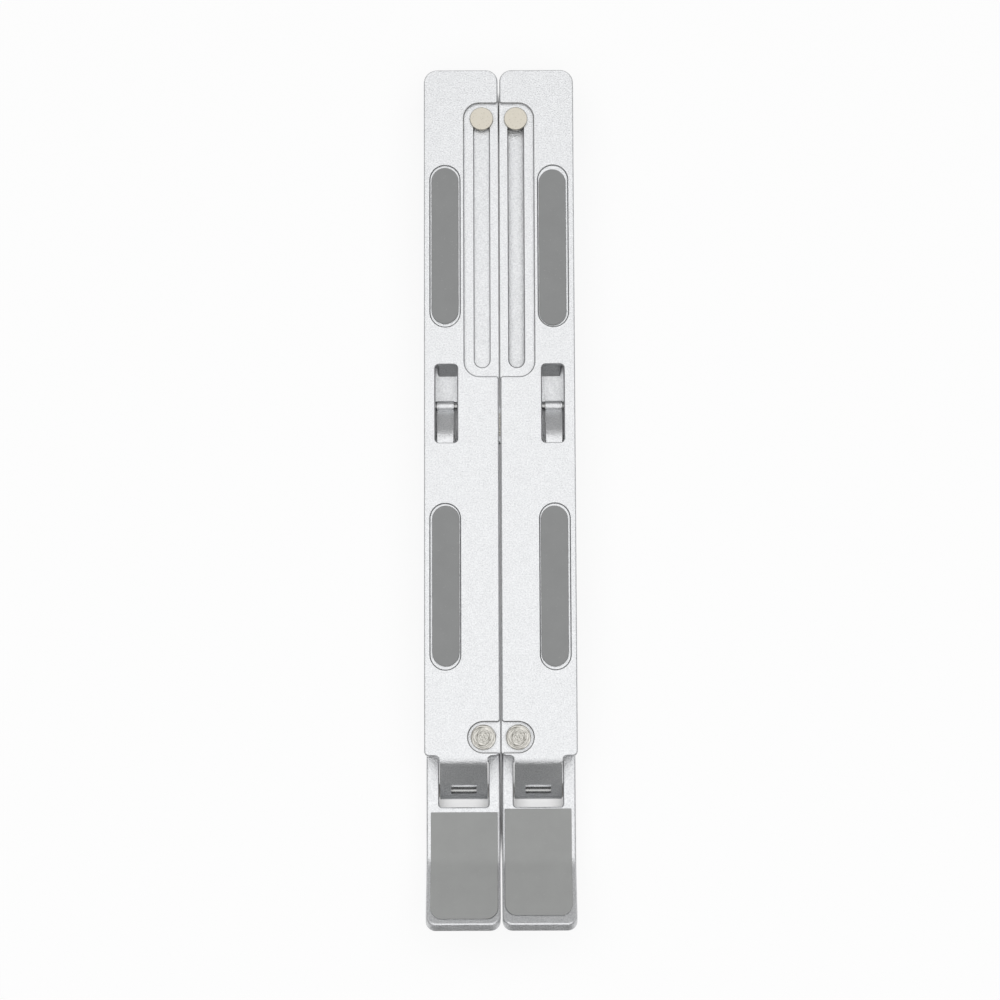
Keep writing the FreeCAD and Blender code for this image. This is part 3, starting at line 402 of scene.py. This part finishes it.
def natural_nylon(rubber):
    """Natural nylon, injection-moulded."""
    # Unfilled nylon is a slightly yellow white with a soft, waxy shine.
    material, tree = new_material("natural_nylon")
    place = add_node(tree, "ShaderNodeTexCoord").outputs["Object"]
    cloud = speckle(tree, place, size=1.2 * MM, detail=2.0)
    colour = blend_colours(tree, spread(tree, cloud, 0.3, 0.7, 0.0, 1.0), NYLON_SHADE, rubber.nylon)
    finish_surface(tree, {"IOR": 1.53},
                   {"Base Color": colour, "Roughness": spread(tree, cloud, 0.3, 0.7, 0.42, 0.5)},
                   relief=cloud, distance=0.003 * MM)
    return material


def matt_white_board(stage):
    """Painted board tabletop."""
    material, tree = new_material("matt_white_board")
    place = add_node(tree, "ShaderNodeTexCoord").outputs["Object"]
    roller = speckle(tree, place, size=3.0 * MM, detail=2.0)
    tint = linear(stage.floor)[:3]
    shade = spread(tree, roller, 0.3, 0.7, 0.995, 1.0)
    paint = add_node(tree, "ShaderNodeVectorMath", {"operation": "SCALE", 0: tint},
                     {"Scale": shade}).outputs["Vector"]
    board = add_node(tree, "ShaderNodeBsdfDiffuse", None, {"Color": paint})
    # Seen directly or mirrored, the board is lifted towards white.  It keeps part of its soft
    # shadow, and all of it where it lies deep in a narrow gap.
    glow = add_node(tree, "ShaderNodeEmission", {"Color": (1, 1, 1, 1), "Strength": 1.0})
    ray = add_node(tree, "ShaderNodeLightPath")
    direct = add_node(tree, "ShaderNodeMath", {"operation": "ADD", "use_clamp": True},
                      {0: ray.outputs["Is Camera Ray"], 1: ray.outputs["Is Glossy Ray"]})
    seen = add_node(tree, "ShaderNodeMath", {"operation": "ADD", "use_clamp": True},
                    {0: direct.outputs["Value"], 1: ray.outputs["Is Transmission Ray"]})
    nearby = add_node(tree, "ShaderNodeAmbientOcclusion",
                      {"samples": 8, "Distance": stage.contact}).outputs["AO"]
    open_share = spread(tree, nearby, 0.15, 0.48, 0.0, stage.floor_lift)
    share = add_node(tree, "ShaderNodeMath", {"operation": "MULTIPLY"},
                     {0: seen.outputs["Value"], 1: open_share})
    mixed = add_node(tree, "ShaderNodeMixShader", None,
                     {0: share.outputs["Value"], 1: board.outputs["BSDF"],
                      2: glow.outputs["Emission"]})
    add_node(tree, "ShaderNodeOutputMaterial", None, {"Surface": mixed.outputs["Shader"]})
    return material


def coat(nodes, material):
    """Gives CAD nodes one material."""
    for name in nodes:
        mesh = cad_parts[name].data
        mesh.materials.clear()
        mesh.materials.append(material)


# ---- rubber shapes ------------------------------------------------------------------------
def stations(half, arc, edge, pitch):
    """Places along a slab, from end to end, closer together where its rim curves."""
    inward = {0.0}
    for step in range(1, ARC_STEPS + 1):
        turn = 1 - math.cos(math.pi / 2 * step / ARC_STEPS)
        inward.add(round(arc * turn, 8))
        inward.add(round(edge * turn, 8))
    reach = max(inward)
    count = max(1, math.ceil((half - reach) / pitch))
    for step in range(1, count + 1):
        inward.add(round(reach + (half - reach) * step / count, 8))
    outer = sorted(half - distance for distance in inward)
    return [-place for place in reversed(outer) if place > JOIN_DISTANCE] + outer


def rim_distance(x, y, half_x, half_y, corner):
    """How far a point lies inside a rounded rectangle's outline."""
    across = abs(x) - (half_x - corner)
    along = abs(y) - (half_y - corner)
    outside = math.hypot(max(across, 0), max(along, 0))
    return corner - outside - min(max(across, along), 0)


def slab(name, low, high, corners, edge, crown, surface, grooves=None):
    """Rubber slab over a plan rectangle, its rim rounded and its middle a little crowned.

    corners holds the front and rear corner radii.  surface(y) gives the heights of the bedded
    face and of the free face at one place along the slab; a foot's free face is the lower one.
    grooves(x, depth) says how deep the free face is cut at x, depth inside the outline.
    """
    half_x = (high.x - low.x) / 2
    half_y = (high.y - low.y) / 2
    middle = (low + high) / 2
    rows = stations(half_y, max(corners), edge, SLAB_PITCH)
    columns = stations(half_x, edge, edge * 2, SLAB_PITCH)
    mesh = bmesh.new()
    free, bedded = [], []
    for y in rows:
        corner = corners[0] if y < 0 else corners[1]
        past = max(0.0, abs(y) - (half_y - corner))
        reach = half_x - corner + math.sqrt(max(0.0, corner ** 2 - past ** 2))
        bed_z, face_z = surface(middle.y + y)
        outward = math.copysign(1.0, face_z - bed_z)
        free.append([])
        bedded.append([])
        for column in columns:
            x = column / half_x * reach
            depth = max(0.0, rim_distance(x, y, half_x, half_y, corner))
            drop = edge - math.sqrt(max(0.0, edge ** 2 - max(0.0, edge - depth) ** 2))
            slack = crown * (1 - min(1.0, depth / half_x)) ** 2
            cut = grooves(x, depth) if grooves else 0.0
            free_z = face_z - outward * (drop + slack + cut)
            free[-1].append(mesh.verts.new((middle.x + x, middle.y + y, free_z)))
            bedded[-1].append(mesh.verts.new((middle.x + x, middle.y + y, bed_z)))
    for face in (free, bedded):
        for near, far in zip(face, face[1:]):
            for i in range(len(near) - 1):
                mesh.faces.new((near[i], near[i + 1], far[i + 1], far[i]))
    left_rim = [(free_row[0], bed_row[0]) for free_row, bed_row in zip(free, bedded)]
    right_rim = [(free_row[-1], bed_row[-1]) for free_row, bed_row in zip(free, bedded)]
    front_rim = list(zip(free[0], bedded[0]))
    rear_rim = list(zip(free[-1], bedded[-1]))
    for rim in (left_rim, right_rim, front_rim, rear_rim):
        for (free_a, bed_a), (free_b, bed_b) in zip(rim, rim[1:]):
            mesh.faces.new((free_a, free_b, bed_b, bed_a))
    bmesh.ops.remove_doubles(mesh, verts=mesh.verts, dist=JOIN_DISTANCE)
    bmesh.ops.dissolve_degenerate(mesh, edges=mesh.edges, dist=JOIN_DISTANCE)
    bmesh.ops.recalc_face_normals(mesh, faces=mesh.faces)
    return mesh_piece(name, mesh)


def mesh_piece(name, mesh):
    """Object from a bmesh, smooth but for its sharp edges."""
    for edge in mesh.edges:
        if len(edge.link_faces) == 2 and edge.calc_face_angle(0.0) > SHARP_ANGLE:
            edge.smooth = False
    for face in mesh.faces:
        face.smooth = True
    data = bpy.data.meshes.new(name)
    mesh.to_mesh(data)
    mesh.free()
    piece = bpy.data.objects.new(name, data)
    bpy.context.collection.objects.link(piece)
    return piece


def lip_heights(y):
    """Heights of a lip pad's underside and top over the deck, the bend and the lip."""
    back = (LIP_BEND_Y * MM - y) / (LIP_BEND_R * MM)
    if back <= 0:
        height, tilt = DECK_Z * MM, 0.0
    elif back < math.sin(LIP_SLOPE):
        tilt = math.asin(back)
        height = (DECK_Z + LIP_BEND_R * (1 - math.cos(tilt))) * MM
    else:
        tilt = LIP_SLOPE
        rise = DECK_Z + LIP_BEND_R * (1 - math.cos(tilt))
        height = rise * MM + (back - math.sin(tilt)) * LIP_BEND_R * MM * math.tan(tilt)
    stretch = MM / math.cos(tilt)
    return height - LIP_PAD_BED * stretch, height + LIP_PAD_PROUD * stretch


def sleeve_tube(name, low, high, bore, edge, groove):
    """Ribbed rubber sleeve on the strut's end pin, along X."""
    middle = (low + high) / 2
    half = (high.x - low.x) / 2
    radius = (high.z - low.z) / 2
    profile = [(-half, bore)]
    for step in range(ARC_STEPS + 1):
        turn = math.pi / 2 * step / ARC_STEPS
        profile.append((-half + edge * (1 - math.cos(turn)), radius - edge * (1 - math.sin(turn))))
    for centre in (-half / 2, 0.0, half / 2):
        for step in range(-GROOVE_STEPS, GROOVE_STEPS + 1):
            reach = step / GROOVE_STEPS
            dip = groove * (1 + math.cos(math.pi * reach)) / 2
            profile.append((centre + 2 * groove * reach, radius - dip))
    profile += [(-x, r) for x, r in profile[ARC_STEPS + 1::-1]]
    mesh = bmesh.new()
    loops = []
    for step in range(SLEEVE_STEPS):
        turn = 2 * math.pi * step / SLEEVE_STEPS
        loops.append([
            mesh.verts.new((middle.x + x, middle.y + r * math.cos(turn),
                            middle.z + r * math.sin(turn)))
            for x, r in profile])
    for loop, following in zip(loops, loops[1:] + loops[:1]):
        for i in range(len(profile)):
            j = (i + 1) % len(profile)
            mesh.faces.new((loop[i], loop[j], following[j], following[i]))
    bmesh.ops.remove_doubles(mesh, verts=mesh.verts, dist=JOIN_DISTANCE)
    bmesh.ops.recalc_face_normals(mesh, faces=mesh.faces)
    return mesh_piece(name, mesh)


def place_rubber(piece, body, node, material):
    """Fits a rubber piece to the body and CAD node that it stands for."""
    piece.data.materials.append(material)
    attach(piece, body)
    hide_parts(node)


# ---- stage --------------------------------------------------------------------------------
def place_camera(context, stage):
    """Camera over the beams' top face, tipped a little towards the front."""
    lens = bpy.data.cameras.new("stand_camera")
    lens.lens = stage.lens
    lens.sensor_width = SENSOR_WIDTH
    lens.clip_start = CLIP_START
    camera = bpy.data.objects.new("stand_camera", lens)
    context.collection.objects.link(camera)
    aim = Vector((0.0, stage.aim_y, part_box("left_beam")[1].z))
    tilt = Matrix.Rotation(math.pi / 2 - stage.elevation, 4, "X")
    turn = Matrix.Rotation(stage.heading, 4, "Z")
    pose = Matrix.Translation(aim) @ turn @ tilt
    camera.matrix_world = pose @ Matrix.Translation((0, 0, stage.distance))
    context.scene.camera = camera


def hang_softbox(context, stage):
    """Large square lamp above the stand, facing straight down."""
    lamp = bpy.data.lights.new("softbox", "AREA")
    lamp.shape = "SQUARE"
    lamp.size = SOFTBOX_SIZE
    lamp.energy = stage.softbox
    softbox = bpy.data.objects.new("softbox", lamp)
    softbox.location = (0.0, SOFTBOX_Y, SOFTBOX_CLEARANCE + cad_box[1].z)
    context.collection.objects.link(softbox)


def light_room(context, stage):
    """Plain room, brighter behind the stand than in front of it."""
    room = bpy.data.worlds.new("studio_room")
    room.use_nodes = True
    tree = room.node_tree
    tree.nodes.clear()
    facing = add_node(tree, "ShaderNodeTexCoord").outputs["Generated"]
    along = add_node(tree, "ShaderNodeSeparateXYZ", None, {"Vector": facing})
    level = spread(tree, along.outputs["Y"], -1.0, 1.0, stage.walls_front, stage.walls_rear)
    walls = add_node(tree, "ShaderNodeBackground", {"Color": (1, 1, 1, 1)}, {"Strength": level})
    add_node(tree, "ShaderNodeOutputWorld", None, {"Surface": walls.outputs["Background"]})
    context.scene.world = room


def lay_floor(stage):
    """Round tabletop under the feet, wide enough to reach past every view."""
    board = bmesh.new()
    bmesh.ops.create_circle(board, cap_ends=True, segments=FLOOR_SEGMENTS, radius=FLOOR_RADIUS)
    floor = mesh_piece("tabletop", board)
    floor.data.materials.append(matt_white_board(stage))


# ---- operators ----------------------------------------------------------------------------
class STAND_OT_stage(bpy.types.Operator):
    """Set up the camera, the lamp, the room and the floor"""

    bl_idname = "stand.stage"
    bl_label = "Stage"

    def execute(self, context):
        stage = context.scene.stand_stage
        place_camera(context, stage)
        hang_softbox(context, stage)
        light_room(context, stage)
        lay_floor(stage)
        context.scene.view_settings.view_transform = "Standard"
        return {"FINISHED"}


class STAND_OT_aluminium(bpy.types.Operator):
    """Give beams, legs, arms and struts their blasted, anodised finish"""

    bl_idname = "stand.aluminium"
    bl_label = "Aluminium parts"

    def execute(self, context):
        metal = context.scene.stand_metal
        extruded = [f"{side}_{part}" for side in SIDES for part in ("beam", "leg")]
        shaded_parts = ["lower_arm", "upper_arm"] + [f"{side}_strut" for side in SIDES]
        coat(extruded, blasted_anodised_aluminium(
            metal, "extrusion", metal.anodised, metal.anodised_pit_shade))
        # The arms and struts get a darker copy of the same finish, as painted shade for where they
        # are seen down the slots and the gap.
        coat(shaded_parts, blasted_anodised_aluminium(metal, "sheet_shaded", metal.sheet_shaded, metal.sheet_pit_shade))
        return {"FINISHED"}


class STAND_OT_fasteners(bpy.types.Operator):
    """Give rivets, sliders and pins their steel finishes"""

    bl_idname = "stand.fasteners"
    bl_label = "Rivets, sliders and pins"

    def execute(self, context):
        metal = context.scene.stand_metal
        for name in ("left_front_rivet", "right_front_rivet", "cross_rivet"):
            low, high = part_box(name)
            coat([name], formed_rivet_steel(metal, name, (low + high) / 2))
        coat([f"{side}_slider_pin" for side in SIDES], satin_nickel_steel(metal))
        pins = [f"{side}_{pin}" for side in SIDES
                for pin in ("hinge_pin", "strut_pin", "sleeve_pin")]
        coat(pins, ground_pin_steel(metal))
        return {"FINISHED"}


class STAND_OT_nylon(bpy.types.Operator):
    """Give bushes, spacers and the washer their nylon finish"""

    bl_idname = "stand.nylon"
    bl_label = "Nylon bushes and spacers"

    def execute(self, context):
        names = ["cross_washer", "left_rivet_spacer"]
        for side in SIDES:
            names += [f"{side}_slider_bush", f"{side}_hinge_spacers"]
        coat(names, natural_nylon(context.scene.stand_rubber))
        return {"FINISHED"}


class STAND_OT_rest_pads(bpy.types.Operator):
    """Mould the four oval pads that carry the laptop"""

    bl_idname = "stand.rest_pads"
    bl_label = "Rest pads"

    def execute(self, context):
        rubber = context.scene.stand_rubber
        silicone = moulded_silicone("rest_pad_silicone", rubber.rest_pad)
        for side in SIDES:
            for place in ("rear", "front"):
                node = f"{side}_{place}_pad"
                low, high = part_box(node)
                end = (high.x - low.x) / 2
                piece = slab(f"{side}_{place}_rest_pad", low, high, (end, end), rubber.edge,
                             rubber.crown, lambda y: (low.z, high.z))
                place_rubber(piece, f"{side}_beam", node, silicone)
        return {"FINISHED"}


class STAND_OT_lip_pads(bpy.types.Operator):
    """Lay the pads that follow the deck and the raised lips"""

    bl_idname = "stand.lip_pads"
    bl_label = "Lip pads"

    def execute(self, context):
        rubber = context.scene.stand_rubber
        silicone = moulded_silicone("lip_pad_silicone", rubber.lip_pad)
        corners = (LIP_PAD_FRONT_R * MM, LIP_PAD_REAR_R * MM)
        for side in SIDES:
            node = f"{side}_lip_pad"
            low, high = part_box(node)
            # The bed is left bare on the side towards the other half.
            if side == "left":
                high.x -= rubber.lip_clearance
            else:
                low.x += rubber.lip_clearance
            piece = slab(f"{side}_lip_cover", low, high, corners,
                         rubber.edge * LIP_EDGE_SHARE, 0.0, lip_heights)
            place_rubber(piece, f"{side}_leg", node, silicone)
        return {"FINISHED"}


class STAND_OT_feet(bpy.types.Operator):
    """Mould the ribbed feet under the legs"""

    bl_idname = "stand.feet"
    bl_label = "Feet"

    def execute(self, context):
        rubber = context.scene.stand_rubber
        material = moulded_silicone("foot_rubber", rubber.foot)

        def ribs(x, depth):
            """Grip grooves along a foot, fading out before its rim."""
            wave = math.cos(2 * math.pi * x / rubber.foot_rib_pitch)
            fade = min(1.0, max(0.0, (depth - FOOT_RIM) / FOOT_FADE))
            return rubber.foot_rib * max(0.0, wave) * fade

        for side in SIDES:
            for place in ("front", "rear"):
                node = f"{side}_{place}_foot"
                low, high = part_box(node)
                end = FOOT_END_SHARE * (high.y - low.y) / 2
                piece = slab(f"{side}_{place}_grip_foot", low, high, (end, end), rubber.edge,
                             0.0, lambda y: (high.z, low.z), ribs)
                place_rubber(piece, f"{side}_leg", node, material)
        return {"FINISHED"}


class STAND_OT_sleeves(bpy.types.Operator):
    """Fit the rubber sleeves at the struts' ends"""

    bl_idname = "stand.sleeves"
    bl_label = "Strut sleeves"

    def execute(self, context):
        rubber = context.scene.stand_rubber
        material = moulded_silicone("sleeve_rubber", rubber.foot)
        for side in SIDES:
            node = f"{side}_strut_sleeve"
            low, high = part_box(node)
            pin_low, pin_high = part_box(f"{side}_sleeve_pin")
            bore = (pin_high.z - pin_low.z) / 2
            piece = sleeve_tube(f"{side}_grip_sleeve", low, high, bore, rubber.edge,
                                SLEEVE_GROOVE)
            place_rubber(piece, f"{side}_strut", node, material)
        return {"FINISHED"}


class STAND_PT_sidebar(bpy.types.Panel):
    """Sidebar panel with the stand's settings and steps"""

    bl_idname = "STAND_PT_sidebar"
    bl_label = "Laptop Stand"
    bl_space_type = "VIEW_3D"
    bl_region_type = "UI"
    bl_category = "Laptop Stand"

    def draw(self, context):
        scene = context.scene
        for settings in (scene.stand_stage, scene.stand_metal, scene.stand_rubber):
            column = self.layout.column(align=True)
            for name in settings.__annotations__:
                column.prop(settings, name)
        for step in STEPS:
            self.layout.operator(step.bl_idname)


STEPS = (
    STAND_OT_stage,
    STAND_OT_aluminium,
    STAND_OT_fasteners,
    STAND_OT_nylon,
    STAND_OT_rest_pads,
    STAND_OT_lip_pads,
    STAND_OT_feet,
    STAND_OT_sleeves,
)
SETTINGS = {
    "stand_metal": StandMetalSettings,
    "stand_rubber": StandRubberSettings,
    "stand_stage": StandStageSettings,
}


def register():
    """Registers the settings, the steps and the panel."""
    for name, group in SETTINGS.items():
        bpy.utils.register_class(group)
        setattr(bpy.types.Scene, name, PointerProperty(type=group))
    for step in STEPS:
        bpy.utils.register_class(step)
    bpy.utils.register_class(STAND_PT_sidebar)


def unregister():
    """Takes the panel, the steps and the settings away again."""
    bpy.utils.unregister_class(STAND_PT_sidebar)
    for step in reversed(STEPS):
        bpy.utils.unregister_class(step)
    for name, group in SETTINGS.items():
        delattr(bpy.types.Scene, name)
        bpy.utils.unregister_class(group)


def main():
    """Make the whole scene."""
    register()
    for step in STEPS:
        group, name = step.bl_idname.split(".")
        getattr(getattr(bpy.ops, group), name)()


if __name__ == "__main__":
    main()
